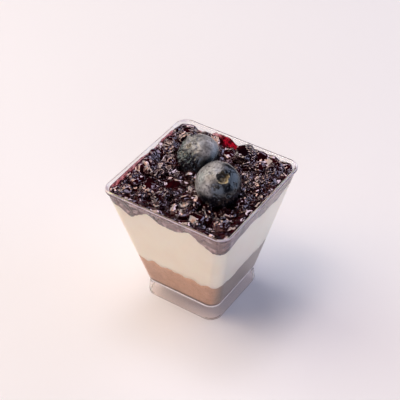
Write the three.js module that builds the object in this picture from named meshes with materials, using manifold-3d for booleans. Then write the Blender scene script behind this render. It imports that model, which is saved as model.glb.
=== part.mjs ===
// A blueberry cheesecake cup: a clear square dessert cup that tapers down to a hollow foot,
// filled with a crumb base, a cheesecake cream and a blueberry compote full of cooked berries,
// with two fresh blueberries pressed into the top.
//
// Millimetres, +Z up. The origin is the centre of the foot's underside, the front is -Y.

import * as THREE from 'three';
import { mergeVertices } from 'three/addons/utils/BufferGeometryUtils.js';
import Module from 'manifold-3d';

const wasm = await Module();
wasm.setup();

// The cup, outside
const CUP_HEIGHT = 58.4;
const TOP_HALF = 28.8;
const RIM_BEAD = 0.2;
const RIM_BEAD_HEIGHT = 1.3;
const RIM_EDGE = 0.25;
const BODY_HALF = 17.5;
const BODY_Z = 7.4;
const BODY_EDGE = 0.5;
const BODY_CORNER = 5.0;
const FOOT_HALF = 17.8;
const FOOT_CORNER = 5.3;
const NECK_HALF = 16.95;
const NECK_Z = 6.8;

// The cup, inside
const WALL = 1.0;
const FOOT_WALL = 0.85;
const FLOOR_TOP = 8.7;
const FLOOR_UNDER = 7.2;
const FLOOR_FILLET = 2.0;

// The food
const GAP = 0.3;
const CRUMB_TOP = 22.4;
const CREAM_TOP = 50.0;
const SEAM_RISE = 2.0;
const COMPOTE_TOP = 55.0;
const COMPOTE_LIMIT = 58.8;

// How finely the shapes are faceted
const CORNER_STEPS = 6;
const BERRY_SIDES = 30;
const BERRY_RINGS = 10;
const COOKED_DETAIL = 2;
const CRUMB_STEPS = 20;
const CREAM_STEPS = 24;
const COMPOTE_CELLS = 38;
const LIMIT_CELLS = 10;
const MERGE_WITHIN = 1e-4;

// Where the cream and the compote meet at the wall: each drip or rise at x, y, its width and
// how far it lifts the seam
const SEAM_WAVES = [
  { x: -17.5, y: -27, width: 2.6, lift: -3.0 },
  { x: -7.6, y: -27, width: 2.6, lift: 3.4 },
  { x: 12.4, y: -27, width: 2.4, lift: 3.4 },
  { x: 25, y: -25, width: 4.6, lift: -4.2 },
  { x: 27, y: -13, width: 3.0, lift: -1.2 },
  { x: 27, y: 3, width: 4.0, lift: -2.6 },
  { x: 27, y: 14, width: 4.4, lift: -2.8 },
  { x: 10, y: 27, width: 4.0, lift: -2.4 },
  { x: -4, y: 27, width: 3.2, lift: -1.0 },
  { x: -19, y: 27, width: 4.4, lift: -2.6 },
  { x: -27, y: 9, width: 3.6, lift: -2.0 },
  { x: -27, y: -9, width: 3.4, lift: 1.6 },
  { x: -26, y: -24, width: 3.6, lift: 1.8 },
];

// The two fresh blueberries: centre, widest radius, height over width, and the way the crown
// or the stem scar points
const FRONT_BERRY = {
  centre: [10.2, -4.2, 61.9], radius: 9.15, squash: 0.9,
  axis: [0.443, -0.348, 0.827], dent: 2.65, depth: 1.5, lobes: 5,
};
const BACK_BERRY = {
  centre: [-7.7, 8.9, 59.7], radius: 8.95, squash: 0.89,
  axis: [-0.286, -0.482, 0.828], dent: 1.3, depth: 0.5, lobes: 0,
};

// The large cooked berries that break the compote's surface: place, radius and how far the
// middle stands above the surface
const LARGE_COOKED = [
  { x: -21.8, y: 22.0, radius: 5.6, lift: -1.3 },
  { x: -23.4, y: 11.2, radius: 4.2, lift: -1.0 },
  { x: -18.2, y: 4.6, radius: 3.6, lift: 0.3 },
  { x: -23.2, y: -4.0, radius: 4.4, lift: -1.2 },
  { x: -23.0, y: -12.6, radius: 3.8, lift: -0.6 },
  { x: -15.4, y: -14.0, radius: 5.2, lift: -0.9 },
  { x: -22.6, y: -20.8, radius: 3.6, lift: -0.6 },
  { x: -7.6, y: -19.6, radius: 4.4, lift: -0.4 },
  { x: 3.0, y: -15.8, radius: 4.2, lift: -0.6 },
  { x: 11.2, y: -21.6, radius: 3.6, lift: 0 },
  { x: 20.4, y: -18.2, radius: 4.0, lift: 0 },
  { x: 20.8, y: -4.6, radius: 3.9, lift: 0 },
  { x: 19.8, y: 9.8, radius: 3.8, lift: 0 },
  { x: 12.8, y: 13.2, radius: 3.8, lift: 0 },
  { x: 6.2, y: 22.8, radius: 5.0, lift: -0.5 },
  { x: 20.8, y: 21.2, radius: 4.4, lift: -0.6 },
];

// The small cooked berries between them, spread by a rule
const SMALL_SPACING = 5.0;
const SMALL_RADIUS = 2.7;
const SMALL_SPREAD = 0.9;
const SMALL_JITTER = 1.8;
const SMALL_REACH = 24;
const SMALL_OVERLAP = 0.66;
const SMALL_LIFT = -0.3;
const COOKED_SQUASH = 0.82;

// The smooth hollow in the compote, left of the fresh berries
const HOLLOW = { x: -7.6, y: -5.2, radius: 6.4, depth: 0.55 };

// How much higher the compote is heaped in the back right corner, and how much higher it may go
const HEAP = { rise: 1.1, limit: 0.8 };

const smooth = (from, to, value) => THREE.MathUtils.smoothstep(value, from, to);
const wallHalf = (z) => BODY_HALF + (TOP_HALF - BODY_HALF) * (z - BODY_Z) / (CUP_HEIGHT - BODY_Z);
const spread = (index, step) => (index * step) % 1;

// A solid to join and cut, from a closed geometry.
function solidOf(geometry) {
  geometry.deleteAttribute('normal');
  geometry.deleteAttribute('uv');
  const merged = mergeVertices(geometry, MERGE_WITHIN);
  return new wasm.Manifold(new wasm.Mesh({
    numProp: 3,
    vertProperties: new Float32Array(merged.attributes.position.array),
    triVerts: new Uint32Array(merged.index.array),
  }));
}

function geometryOf(solid) {
  const { vertProperties, triVerts } = solid.getMesh();
  const geometry = new THREE.BufferGeometry();
  geometry.setAttribute('position', new THREE.BufferAttribute(vertProperties, 3));
  geometry.setIndex(new THREE.BufferAttribute(triVerts, 1));
  geometry.computeVertexNormals();
  return geometry;
}

// The largest piece of a solid, without the scraps that a cut leaves loose.
function largestPiece(solid) {
  const pieces = solid.decompose();
  return pieces.reduce((largest, piece) => (piece.volume() > largest.volume() ? piece : largest));
}

// A square with rounded corners at height z, counter-clockwise from above.
function squareRing(half, corner, z) {
  const ring = [];
  for (let side = 0; side < 4; side += 1) {
    const middle = (side + 0.5) * Math.PI / 2;
    const x = Math.sign(Math.cos(middle)) * (half - corner);
    const y = Math.sign(Math.sin(middle)) * (half - corner);
    for (let step = 0; step <= CORNER_STEPS; step += 1) {
      const angle = (side + step / CORNER_STEPS) * Math.PI / 2;
      ring.push([x + corner * Math.cos(angle), y + corner * Math.sin(angle), z]);
    }
  }
  return ring;
}

// A closed skin over rings of equal length, from its first pole to its last.
function skin(firstPole, rings, lastPole) {
  const around = rings[0].length;
  const points = [firstPole, ...rings.flat(), lastPole];
  const last = points.length - 1;
  const index = [];
  for (let i = 0; i < around; i += 1) {
    const next = (i + 1) % around;
    index.push(0, 1 + next, 1 + i);
    for (let ring = 0; ring < rings.length - 1; ring += 1) {
      const low = 1 + ring * around;
      const high = low + around;
      index.push(low + i, low + next, high + i, low + next, high + next, high + i);
    }
    const top = last - around;
    index.push(top + i, top + next, last);
  }
  const geometry = new THREE.BufferGeometry();
  geometry.setAttribute('position', new THREE.Float32BufferAttribute(points.flat(), 3));
  geometry.setIndex(index);
  geometry.computeVertexNormals();
  return geometry;
}

// The cup: from the middle of the floor's underside down into the foot, up the outside, over
// the rim and down the inside to the middle of the floor.
function cupGeometry() {
  const inner = BODY_CORNER - WALL;
  const filletTop = FLOOR_TOP + FLOOR_FILLET;
  const filletHalf = wallHalf(filletTop) - WALL;
  const rim = TOP_HALF + RIM_BEAD;
  const foot = FOOT_HALF - FOOT_WALL;
  const footCorner = FOOT_CORNER - FOOT_WALL;
  const profile = [
    [NECK_HALF - FOOT_WALL - BODY_EDGE, inner - BODY_EDGE, FLOOR_UNDER],
    [NECK_HALF - FOOT_WALL, inner, FLOOR_UNDER - BODY_EDGE],
    [foot, footCorner, RIM_EDGE],
    [foot + RIM_EDGE / 2, footCorner, 0],
    [FOOT_HALF - RIM_EDGE / 2, FOOT_CORNER, 0],
    [FOOT_HALF, FOOT_CORNER, RIM_EDGE],
    [NECK_HALF + RIM_EDGE, BODY_CORNER, NECK_Z - BODY_EDGE],
    [NECK_HALF, BODY_CORNER, NECK_Z],
    [wallHalf(BODY_Z) - BODY_EDGE / 3, BODY_CORNER, BODY_Z - BODY_EDGE / 3],
    [wallHalf(BODY_Z + BODY_EDGE), BODY_CORNER, BODY_Z + BODY_EDGE],
    [wallHalf(CUP_HEIGHT - RIM_BEAD_HEIGHT - RIM_BEAD), BODY_CORNER,
      CUP_HEIGHT - RIM_BEAD_HEIGHT - RIM_BEAD],
    [rim, BODY_CORNER + RIM_BEAD, CUP_HEIGHT - RIM_BEAD_HEIGHT],
    [rim, BODY_CORNER + RIM_BEAD, CUP_HEIGHT - RIM_EDGE],
    [rim - RIM_EDGE, BODY_CORNER, CUP_HEIGHT],
    [wallHalf(CUP_HEIGHT) - WALL + RIM_EDGE, inner + RIM_EDGE, CUP_HEIGHT],
    [wallHalf(CUP_HEIGHT) - WALL, inner, CUP_HEIGHT - RIM_EDGE],
    [filletHalf, inner, filletTop],
    [filletHalf - 0.3 * FLOOR_FILLET, inner - 0.3, FLOOR_TOP + 0.35 * FLOOR_FILLET],
    [filletHalf - FLOOR_FILLET, inner - 1.2, FLOOR_TOP],
  ];
  const rings = profile.map(([half, corner, z]) => squareRing(half, corner, z));
  return skin([0, 0, FLOOR_UNDER], rings, [0, 0, FLOOR_TOP]);
}

// The room inside the cup, a gap clear of it, carried on above the rim.
function cavity() {
  const above = COMPOTE_LIMIT + 4;
  const inner = BODY_CORNER - WALL - GAP;
  const filletTop = FLOOR_TOP + FLOOR_FILLET + GAP;
  const filletHalf = wallHalf(filletTop) - WALL - GAP;
  const rings = [
    squareRing(filletHalf - FLOOR_FILLET, inner - 1.2, FLOOR_TOP + GAP),
    squareRing(filletHalf - 0.35 * FLOOR_FILLET, inner - 0.3, FLOOR_TOP + GAP + 0.35 * FLOOR_FILLET),
    squareRing(filletHalf, inner, filletTop),
    squareRing(wallHalf(above) - WALL - GAP, inner, above),
  ];
  return solidOf(skin([0, 0, FLOOR_TOP + GAP], rings, [0, 0, above]));
}

// Everything under the surface height(x, y), which is measured on square rings of the given
// half sides, from the outermost in, and is flat inside the last.
function underRings(height, halves, steps) {
  const squareAt = (half, heightAt) => {
    const ring = [];
    for (let side = 0; side < 4; side += 1) {
      for (let step = 0; step < steps; step += 1) {
        const along = half * (2 * step / steps - 1);
        const [x, y] = [[half, along], [-along, half], [-half, -along], [along, -half]][side];
        ring.push([x, y, heightAt(x, y)]);
      }
    }
    return ring;
  };
  const rings = [squareAt(halves[0], () => 0), ...halves.map((half) => squareAt(half, height))];
  return solidOf(skin([0, 0, 0], rings, [0, 0, height(0, 0)]));
}

// Everything under the surface height(x, y), measured on a grid over a square.
function underGrid(height, half, cells) {
  const across = cells + 1;
  const points = [];
  for (const top of [false, true]) {
    for (let row = 0; row < across; row += 1) {
      for (let column = 0; column < across; column += 1) {
        const x = -half + 2 * half * column / cells;
        const y = -half + 2 * half * row / cells;
        points.push(x, y, top ? height(x, y) : 0);
      }
    }
  }
  const layer = across * across;
  const index = [];
  for (let row = 0; row < cells; row += 1) {
    for (let column = 0; column < cells; column += 1) {
      const a = row * across + column;
      const b = a + 1;
      const c = b + across;
      const d = a + across;
      index.push(a, c, b, a, d, c, layer + a, layer + b, layer + c, layer + a, layer + c, layer + d);
    }
  }
  for (let i = 0; i < cells; i += 1) {
    const edges = [
      [i, i + 1],
      [i * across + cells, (i + 1) * across + cells],
      [layer - 1 - i, layer - 2 - i],
      [(cells - i) * across, (cells - i - 1) * across],
    ];
    for (const [from, to] of edges) {
      index.push(from, to, layer + to, from, layer + to, layer + from);
    }
  }
  const geometry = new THREE.BufferGeometry();
  geometry.setAttribute('position', new THREE.Float32BufferAttribute(points, 3));
  geometry.setIndex(index);
  return solidOf(geometry);
}

// How near the wall a point is at the top of the cup: 0 well inside, 1 at the wall.
const nearWall = (x, y) => smooth(20.5, 26, Math.max(Math.abs(x), Math.abs(y)));

// The top of the crumb base, rough where it shows at the wall.
function crumbHeight(x, y) {
  const rough = smooth(16.4, 18.6, Math.max(Math.abs(x), Math.abs(y)));
  const grain = 0.45 * Math.sin(0.98 * x + 0.4 * y + 0.6) + 0.4 * Math.sin(0.55 * y - 0.7 * x - 0.9);
  return CRUMB_TOP + rough * grain;
}

// The top of the cream, which drips and rises along the wall.
function creamHeight(x, y) {
  let seam = SEAM_RISE;
  for (const wave of SEAM_WAVES) {
    const away = ((x - wave.x) ** 2 + (y - wave.y) ** 2) / (2 * wave.width ** 2);
    seam += wave.lift * Math.exp(-away);
  }
  return CREAM_TOP + seam * nearWall(x, y);
}

// How far into the back right corner a point is: 0 well outside it, 1 well inside.
const backRight = (x, y) => smooth(-1, 6, x) * smooth(14, 22, y);

// The jelly between the cooked berries: drawn up along the walls, least at the back, where it
// leaves a dip, with a smooth hollow beside the fresh berries.
function jellyHeight(x, y) {
  const front = 2.2 * smooth(17, 25.5, Math.max(-y, x)) * (1 - smooth(15, 24, y));
  const left = 1.9 * smooth(19.5, 26, -x);
  const dip = 2.2 * smooth(21, 25, y) * Math.exp(-(((x + 2.5) / 4.8) ** 4));
  const back = 1.3 * smooth(19.5, 26, y) * (1 - smooth(20, 27, x));
  const ripple = 0.3 * Math.sin(0.95 * x + 0.35 * y + 1) + 0.3 * Math.sin(1.15 * y - 0.5 * x + 2.2);
  const away = ((x - HOLLOW.x) ** 2 + (y - HOLLOW.y) ** 2) / HOLLOW.radius ** 2;
  const hollow = Math.exp(-(away ** 2));
  const rise = Math.max(front, left, back) - dip + HEAP.rise * backRight(x, y);
  return COMPOTE_TOP + rise + ripple * (1 - hollow) - HOLLOW.depth * hollow;
}

// A fresh blueberry round its own axis: a flattened ball with a dent at the pole, ringed by the
// lobes of its crown or bare like the stem scar. `grow` makes it larger all round.
function freshBerry(berry, grow) {
  const rings = [];
  const height = (radius) => berry.squash * Math.sqrt(1 - (radius / berry.radius) ** 2) * berry.radius;
  const shoulder = Math.asin(Math.min(1, 1.25 * berry.dent / berry.radius));
  for (let ring = 1; ring <= BERRY_RINGS; ring += 1) {
    const angle = Math.PI - (Math.PI - shoulder) * ring / BERRY_RINGS;
    const radius = berry.radius * Math.sin(angle);
    rings.push({ radius, z: berry.squash * berry.radius * Math.cos(angle), lobe: 0 });
  }
  const lip = height(berry.dent);
  if (berry.lobes > 0) {
    rings.push({ radius: berry.dent, z: lip + 0.1 * berry.depth, lobe: 1 });
    rings.push({ radius: 0.84 * berry.dent, z: lip, lobe: 1 });
  } else {
    rings.push({ radius: berry.dent, z: lip, lobe: 0 });
  }
  rings.push({ radius: 0.6 * berry.dent, z: lip - berry.depth, lobe: 0 });
  const turned = rings.map(({ radius, z, lobe }) => {
    const ring = [];
    for (let side = 0; side < BERRY_SIDES; side += 1) {
      const angle = 2 * Math.PI * side / BERRY_SIDES;
      const wave = lobe * Math.cos(berry.lobes * angle);
      const out = radius * (1 + 0.14 * wave) + grow * Math.sign(radius);
      ring.push([out * Math.cos(angle), out * Math.sin(angle), z + 0.45 * wave + grow * z / berry.radius]);
    }
    return ring;
  });
  const bottom = -berry.squash * berry.radius - grow;
  const geometry = skin([0, 0, bottom], turned, [0, 0, lip - berry.depth + grow]);
  const up = new THREE.Vector3(...berry.axis).normalize();
  geometry.applyQuaternion(new THREE.Quaternion().setFromUnitVectors(new THREE.Vector3(0, 0, 1), up));
  return geometry.translate(...berry.centre);
}

// The small cooked berries: staggered rows, nudged about, where nothing larger lies.
function smallCooked() {
  const berries = [];
  const taken = [...LARGE_COOKED, { ...HOLLOW, radius: 4.6 }];
  for (const fresh of [FRONT_BERRY, BACK_BERRY]) {
    taken.push({ x: fresh.centre[0], y: fresh.centre[1], radius: 0.6 * fresh.radius });
  }
  const rows = Math.floor(SMALL_REACH / SMALL_SPACING);
  for (let row = -rows; row <= rows; row += 1) {
    for (let column = -rows; column <= rows; column += 1) {
      const index = (row + rows) * 9 + column + rows + 1;
      const shift = row % 2 === 0 ? 0 : 0.5 * SMALL_SPACING;
      const x = SMALL_SPACING * column + shift + SMALL_JITTER * (spread(index, 0.754878) - 0.5);
      const y = SMALL_SPACING * row + SMALL_JITTER * (spread(index, 0.56984) - 0.5);
      const radius = SMALL_RADIUS + SMALL_SPREAD * (spread(index, 0.618034) - 0.5);
      const reach = Math.max(Math.abs(x), Math.abs(y));
      const free = taken.every((other) => Math.hypot(x - other.x, y - other.y)
        > SMALL_OVERLAP * (radius + other.radius));
      if (free && reach < SMALL_REACH) {
        berries.push({ x, y, radius });
      }
    }
  }
  return berries;
}

// The compote's surface with the small cooked berries standing out of the jelly as domes.
function compoteHeight(berries, x, y) {
  let height = jellyHeight(x, y);
  for (const berry of berries) {
    const away = Math.hypot(x - berry.x, y - berry.y) / berry.radius;
    if (away < 1) {
      const dome = COOKED_SQUASH * berry.radius * Math.sqrt(1 - away ** 2);
      height = Math.max(height, jellyHeight(berry.x, berry.y) + SMALL_LIFT + dome);
    }
  }
  return height;
}

// A large cooked berry: squashed, wrinkled and turned its own way by its number.
function cookedBerry(berry, number) {
  const ball = new THREE.IcosahedronGeometry(1, COOKED_DETAIL);
  const position = ball.attributes.position;
  const point = new THREE.Vector3();
  for (let i = 0; i < position.count; i += 1) {
    point.fromBufferAttribute(position, i);
    const fold = Math.sin(3.1 * point.x + 1.7 * number) * Math.cos(3.7 * point.y + 2.3 * number);
    const crease = Math.sin(6 * point.z + 4 * point.x + number);
    point.multiplyScalar(berry.radius * (1 + 0.1 * fold + 0.04 * crease));
    position.setXYZ(i, point.x, point.y, COOKED_SQUASH * point.z);
  }
  ball.translate(berry.x, berry.y, jellyHeight(berry.x, berry.y) + berry.lift);
  return solidOf(ball);
}

const room = cavity();
const crumbTop = (shift) => underRings((x, y) => crumbHeight(x, y) + shift, [21, 18, 15], CRUMB_STEPS);
const creamTop = (shift) => underRings((x, y) => creamHeight(x, y) + shift, [28, 25, 21], CREAM_STEPS);

const crumbSolid = room.intersect(crumbTop(-GAP / 2));
const creamSolid = room.intersect(creamTop(-GAP / 2)).subtract(crumbTop(GAP / 2));

const smallBerries = smallCooked();
let compoteSolid = underGrid((x, y) => compoteHeight(smallBerries, x, y), 28, COMPOTE_CELLS);
LARGE_COOKED.forEach((berry, number) => {
  compoteSolid = compoteSolid.add(cookedBerry(berry, number));
});
compoteSolid = compoteSolid
  .intersect(room)
  .intersect(underGrid((x, y) => COMPOTE_LIMIT + HEAP.limit * backRight(x, y), 30, LIMIT_CELLS))
  .subtract(creamTop(GAP / 2))
  .subtract(solidOf(freshBerry(FRONT_BERRY, GAP)))
  .subtract(solidOf(freshBerry(BACK_BERRY, GAP)));

const clear = new THREE.MeshStandardMaterial({
  color: 0xe6e4e6, roughness: 0.08, metalness: 0, transparent: true, opacity: 0.3,
});
const crumb = new THREE.MeshStandardMaterial({ color: 0xb8926f, roughness: 0.9, metalness: 0 });
const cream = new THREE.MeshStandardMaterial({ color: 0xeadfcf, roughness: 0.55, metalness: 0 });
const compote = new THREE.MeshStandardMaterial({ color: 0x2b0712, roughness: 0.15, metalness: 0 });
const bloom = new THREE.MeshStandardMaterial({ color: 0x3f4a5c, roughness: 0.6, metalness: 0 });

function node(name, geometry, material) {
  const mesh = new THREE.Mesh(geometry, material);
  mesh.name = name;
  return mesh;
}

const cheesecakeCup = new THREE.Group();
cheesecakeCup.add(
  node('cup', cupGeometry(), clear),
  node('crumb_base', geometryOf(largestPiece(crumbSolid)), crumb),
  node('cheesecake_cream', geometryOf(largestPiece(creamSolid)), cream),
  node('blueberry_compote', geometryOf(largestPiece(compoteSolid)), compote),
  node('blueberry_front', freshBerry(FRONT_BERRY, 0), bloom),
  node('blueberry_back', freshBerry(BACK_BERRY, 0), bloom),
);

export default cheesecakeCup;
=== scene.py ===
"""A blueberry cheesecake cup: a clear square dessert cup with a crumb base, a cheesecake cream, a
wet blueberry compote full of cooked berries, and two fresh blueberries on top.

Sizes are millimetres in the part's own frame: +Z up, the origin under the middle of the foot,
the front wall at -Y. They become metres where a mesh is made.
"""

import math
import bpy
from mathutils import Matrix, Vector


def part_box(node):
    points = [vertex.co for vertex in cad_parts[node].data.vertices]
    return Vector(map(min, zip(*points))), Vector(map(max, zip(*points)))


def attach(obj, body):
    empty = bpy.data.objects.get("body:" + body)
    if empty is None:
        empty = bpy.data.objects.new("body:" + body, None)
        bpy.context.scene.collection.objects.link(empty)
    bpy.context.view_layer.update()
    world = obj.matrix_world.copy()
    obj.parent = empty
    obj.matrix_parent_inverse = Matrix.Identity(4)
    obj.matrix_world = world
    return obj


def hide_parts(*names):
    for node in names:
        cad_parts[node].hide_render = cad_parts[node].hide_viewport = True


bl_info = {
    "name": "Blueberry Cheesecake Cup",
    "version": (1, 0, 0),
    "blender": (4, 5, 0),
    "location": "View3D > Sidebar > Dessert",
    "description": "Builds a clear dessert cup filled with cheesecake and blueberry compote",
    "category": "Add Mesh",
}

import bpy
from mathutils import Vector, noise

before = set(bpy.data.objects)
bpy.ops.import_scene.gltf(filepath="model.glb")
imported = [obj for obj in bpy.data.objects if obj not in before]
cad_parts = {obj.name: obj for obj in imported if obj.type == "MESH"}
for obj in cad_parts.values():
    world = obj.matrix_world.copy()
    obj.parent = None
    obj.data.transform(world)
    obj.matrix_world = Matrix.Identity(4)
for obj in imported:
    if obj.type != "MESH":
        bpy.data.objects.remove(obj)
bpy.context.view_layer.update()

MM = 0.001

# The cup, outside
CUP_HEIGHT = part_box("cup")[1].z / MM
RIM_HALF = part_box("cup")[1].x / MM
RIM_BEAD = 0.2
RIM_BEAD_HEIGHT = 1.3
RIM_ROUND = 0.35
TOP_HALF = RIM_HALF - RIM_BEAD
BODY_HALF = 17.5
BODY_Z = 7.4
BODY_CORNER = 5.0
FOOT_HALF = 17.8
FOOT_CORNER = 5.3
FOOT_ROUND = 0.25
NECK_HALF = 16.95
NECK_Z = 6.8
NECK_ROUND = 0.5

# The cup, inside
WALL = 1.0
FOOT_WALL = 0.85
FLOOR_TOP = 8.7
FLOOR_UNDER = 7.2
FLOOR_FILLET = 2.0

# Share of the points of a ring's side that go round its corner
CORNER_SHARE = 0.2

# The food's levels, and the points round each ring of food at the wall
CRUMB_TOP = 22.4
CREAM_TOP = 50.0
SEAM_RISE = 2.0
COMPOTE_TOP = 55.0
COMPOTE_LIMIT = 58.8
FOOD_POINTS = 480

# Where the cream and the compote meet at the wall: x, y, width and lift of each drip or rise
SEAM_WAVES = (
    (-17.5, -27, 2.6, -3.0),
    (-7.6, -27, 2.6, 3.4),
    (12.4, -27, 2.4, 3.4),
    (25, -25, 4.6, -4.2),
    (27, -13, 3.0, -1.2),
    (27, 3, 4.0, -2.6),
    (27, 14, 4.4, -2.8),
    (10, 27, 4.0, -2.4),
    (-4, 27, 3.2, -1.0),
    (-19, 27, 4.4, -2.6),
    (-27, 9, 3.6, -2.0),
    (-27, -9, 3.4, 1.6),
    (-26, -24, 3.6, 1.8),
)

# How high the jelly is drawn up along the front and right walls, the left wall and the back wall
FRONT_RISE = 2.2
LEFT_RISE = 1.9
BACK_RISE = 1.3

# The dip that the jelly leaves at the back: depth, middle and half width
DIP_DEPTH = 2.2
DIP_X = -2.5
DIP_HALF = 4.8

# The smooth hollow in the compote: x, y, radius and depth, how far round its middle no small
# berry stands, and the share of a fresh berry's radius within which none stands
HOLLOW = (-7.6, -5.2, 6.4, 0.55)
HOLLOW_CLEAR = 4.6
FRESH_CLEAR = 0.6

# How much higher the compote is heaped in the back right corner, and how much higher it may go
HEAP_RISE = 1.1
HEAP_LIMIT = 0.8

# The jelly's folds and creases, how much lower it lies between the cooked berries, how far it is
# drawn up where it wets a berry or the wall, and how far it reaches into the wall
JELLY_FOLD_SIZE = 4.2
JELLY_FOLD_DEPTH = 0.4
JELLY_CREASE_SIZE = 3.6
JELLY_CREASE_DEPTH = 0.15
JELLY_GAP = 1.5
JELLY_ON_BERRY = 0.6
JELLY_ON_WALL = 0.8
JELLY_REACH = 0.2

# The large cooked berries: x, y, radius and how far the middle stands above the jelly
LARGE_COOKED = (
    (-21.8, 22.0, 5.6, -1.3),
    (-23.4, 11.2, 4.2, -1.0),
    (-18.2, 4.6, 3.6, 0.3),
    (-23.2, -4.0, 4.4, -1.2),
    (-23.0, -12.6, 3.8, -0.6),
    (-15.4, -14.0, 5.2, -0.9),
    (-22.6, -20.8, 3.6, -0.6),
    (-7.6, -19.6, 4.4, -0.4),
    (3.0, -15.8, 4.2, -0.6),
    (11.2, -21.6, 3.6, 0.0),
    (20.4, -18.2, 4.0, 0.0),
    (20.8, -4.6, 3.9, 0.0),
    (19.8, 9.8, 3.8, 0.0),
    (12.8, 13.2, 3.8, 0.0),
    (6.2, 22.8, 5.0, -0.5),
    (20.8, 21.2, 4.4, -0.6),
)

# The small cooked berries between them, spread by a rule
SMALL_SPACING = 5.0
SMALL_RADIUS = 2.7
SMALL_SPREAD = 0.9
SMALL_JITTER = 1.8
SMALL_REACH = 24.0
SMALL_OVERLAP = 0.66
SMALL_LIFT = -0.3
SMALL_LIFT_SPREAD = 1.2
SMALL_SWELL = 1.16

# Every cooked berry: height over width, how far that and the stretch vary, its lean and its turn
COOKED_SQUASH = 0.82
COOKED_SQUASH_SPREAD = 0.12
COOKED_STRETCH = 0.16
COOKED_LEAN = 0.5
COOKED_TURN = 2.4

# The thin film of jelly on the walls above the compote: turn round the cup, from the back wall's
# right end to the front left corner, then the film's top, thickness and redness
WALL_FILM = (
    (0.1, 55.0, 0.15, 0.2),
    (0.24, 56.6, 0.2, 0.25),
    (0.3, 57.0, 0.2, 0.2),
    (0.35, 56.7, 0.2, 0.2),
    (0.41, 57.8, 0.2, 0.2),
    (0.5, 57.5, 0.2, 0.2),
    (0.57, 55.2, 0.3, 0.8),
    (0.61, 56.2, 0.45, 1.4),
    (0.66, 57.5, 0.45, 1.5),
    (0.705, 58.1, 0.45, 1.4),
    (0.75, 58.2, 0.4, 0.9),
    (0.785, 58.1, 0.3, 0.4),
    (0.815, 57.5, 0.25, 0.25),
    (0.84, 55.8, 0.2, 0.2),
    (0.92, 56.0, 0.2, 0.2),
    (1.1, 56.6, 0.2, 0.35),
    (1.24, 57.2, 0.25, 0.5),
    (1.3, 58.0, 0.3, 0.65),
    (1.4, 57.9, 0.3, 0.6),
    (1.45, 57.2, 0.25, 0.35),
    (1.55, 57.4, 0.25, 0.3),
    (1.7, 58.2, 0.3, 0.55),
    (1.85, 59.3, 0.35, 0.75),
    (2.04, 59.5, 0.35, 0.75),
    (2.14, 57.4, 0.25, 0.5),
    (2.25, 56.0, 0.15, 0.2),
)

# The film's lower edge, how uneven its top is, its steps along the wall and its points round
WALL_FILM_FOOT = 52.6
WALL_FILM_RAGGED = 0.45
WALL_FILM_STEPS = 420
WALL_FILM_POINTS = 20

# The fresh blueberries: middle, widest radius, height over width, where the end points, how high
# on the skin the syrup ends, which also paints the side away from the light as shaded bare skin,
# the way its edge tips towards the light, the side that is crusted with jelly and the crown's dry
# side, which is also its lit side
FRONT_BERRY = {
    "middle": (10.2, -4.2, 61.9), "radius": 9.15, "squash": 0.9, "axis": (0.443, -0.348, 0.827),
    "wet": (0.12, 0.95), "toward_light": (-0.68, -0.38, 0.63),
    "crust": (0, 0, 0), "dry": (0.721, -0.184, -0.647),
}
BACK_BERRY = {
    "middle": (-7.7, 8.9, 59.7), "radius": 8.95, "squash": 0.89, "axis": (-0.286, -0.482, 0.828),
    "wet": (0.42, 1.0), "toward_light": (0.12, 0.1, 0.98),
    "crust": (-0.834, -0.551, 0.1), "dry": (0, 0, 0),
}
BERRY_RINGS = 100
BERRY_POINTS = 220

# The size and depth of a fresh berry's dents and of its crust, and the size of the patches at the
# edge of the syrup and of the painted shade
DENT_SIZE = 5.5
DENT_DEPTH = 0.16
CRUST_SIZE = 2.2
CRUST_DEPTH = 0.8
SYRUP_SHADE_SIZE = 4.5

# The crown in the front berry's end: from the skin inwards, radius and rise over the lip between
# the lobes, radius and rise on a lobe, how dry it is and how much painted shade lies on it
CROWN_RADIUS = 2.65
CROWN_LOBES = 5
CROWN_TURN = 0.6
CROWN_SECTION = (
    (2.75, 0.02, 2.85, 0.05, 0.0, 0),
    (2.35, 0.08, 2.7, 0.3, 0.1, 0),
    (2.2, 0.14, 2.75, 0.75, 0.25, 0),
    (2.1, 0.18, 2.9, 1.2, 0.6, 0),
    (2.0, 0.18, 2.85, 1.32, 1.0, 0),
    (1.95, 0.12, 2.6, 1.1, 1.0, 0),
    (1.85, -0.1, 2.2, 0.5, 1.0, 0.1),
    (1.75, -0.5, 1.85, -0.3, 0.8, 0.5),
    (1.6, -1.0, 1.6, -1.0, 0.6, 0.85),
    (1.3, -1.35, 1.3, -1.35, 0.4, 0.95),
    (0.7, -1.4, 0.7, -1.4, 0.5, 0.9),
    (0.4, -1.15, 0.4, -1.15, 0.8, 0.6),
)
CROWN_PIT = 1.1

# The stem scar in the back berry's end: radius, rise over the lip, how dry it is and how much
# painted shade lies in its hollow
SCAR_RADIUS = 1.3
SCAR_SECTION = (
    (1.4, 0.02, 0.15, 0),
    (1.2, 0.1, 0.4, 0),
    (1.0, 0.0, 0.45, 0),
    (0.75, -0.25, 0.4, 0.1),
    (0.5, -0.5, 0.4, 0.5),
    (0.25, -0.55, 0.4, 0.7),
)
SCAR_PIT = 0.5

# The gloss of the syrup, the colour of lamp light past the cup's wall and past a smear of jelly,
# the painted shade inside a berry's crown, and how much finer and lower the lace between the folds is
SYRUP_GLOSS = {
    "Roughness": 0.04, "IOR": 1.75, "Specular_IOR_Level": 1.0, "Specular_Tint": (1.0, 0.77, 0.83, 1.0),
}
WALL_SHADE = (0.93, 0.92, 0.93)
SMEAR_SHADE = (0.9, 0.3, 0.35, 1.0)
PIT_SHADE_COLOUR = (0.012, 0.007, 0.006)
LACE_FINENESS = 1.7
LACE_HEIGHT = 0.2

# The camera, at the photograph's viewing angle
VIEW_AZIMUTH = 33.46
VIEW_ELEVATION = 40.43
VIEW_TARGET = (-11.24, 15.23, 30.0)
VIEW_DISTANCE = 485.1
VIEW_LENS = 102.74

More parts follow.
